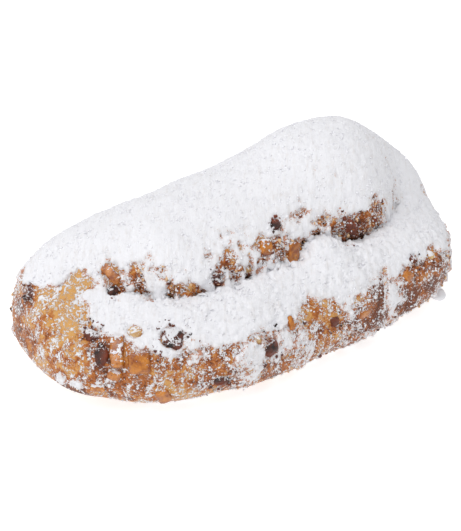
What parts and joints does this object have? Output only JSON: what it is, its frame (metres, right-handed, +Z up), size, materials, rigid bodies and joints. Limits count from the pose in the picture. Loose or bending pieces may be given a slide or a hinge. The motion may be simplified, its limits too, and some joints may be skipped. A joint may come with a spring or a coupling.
{
  "type": "stollen",
  "caption": "Oval fruit loaf of rich dough folded over itself, with raisins, candied peel and almonds in its crust, dusted with icing sugar.",
  "frame": {"origin": "middle of the bottom of the loaf's box, on the surface that it rests on", "axes": "+X along the loaf, towards its higher end; +Z up; the open edge of the fold faces -Y"},
  "size_m": [0.237, 0.1214, 0.089],
  "materials": {
    "crust": "golden brown baked crust, matt, specked with sugar",
    "icing_sugar": "thick dry layer of icing sugar, matt and grainy",
    "raisin": "dark shrivelled skin, slightly sticky",
    "candied_peel": "amber candied orange peel, moist and glossy",
    "almond": "pale chopped almond, matt"
  },
  "bodies": {
    "root": {"almond_01": "almond", "almond_02": "almond", "almond_03": "almond", "almond_04": "almond", "almond_05": "almond", "almond_06": "almond", "almond_07": "almond", "loaf": "crust", "peel_01": "candied_peel", "peel_02": "candied_peel", "peel_03": "candied_peel", "peel_04": "candied_peel", "peel_05": "candied_peel", "peel_06": "candied_peel", "peel_07": "candied_peel", "peel_08": "candied_peel", "peel_09": "candied_peel", "peel_10": "candied_peel", "peel_11": "candied_peel", "peel_12": "candied_peel", "peel_13": "candied_peel", "peel_14": "candied_peel", "peel_15": "candied_peel", "raisin_01": "raisin", "raisin_02": "raisin", "raisin_03": "raisin", "raisin_04": "raisin", "raisin_05": "raisin", "raisin_06": "raisin", "raisin_07": "raisin", "raisin_08": "raisin", "raisin_09": "raisin", "raisin_10": "raisin", "raisin_11": "raisin", "raisin_12": "raisin", "raisin_13": "raisin", "raisin_14": "raisin", "raisin_15": "raisin", "raisin_16": "raisin"}
  },
  "joints": []
}
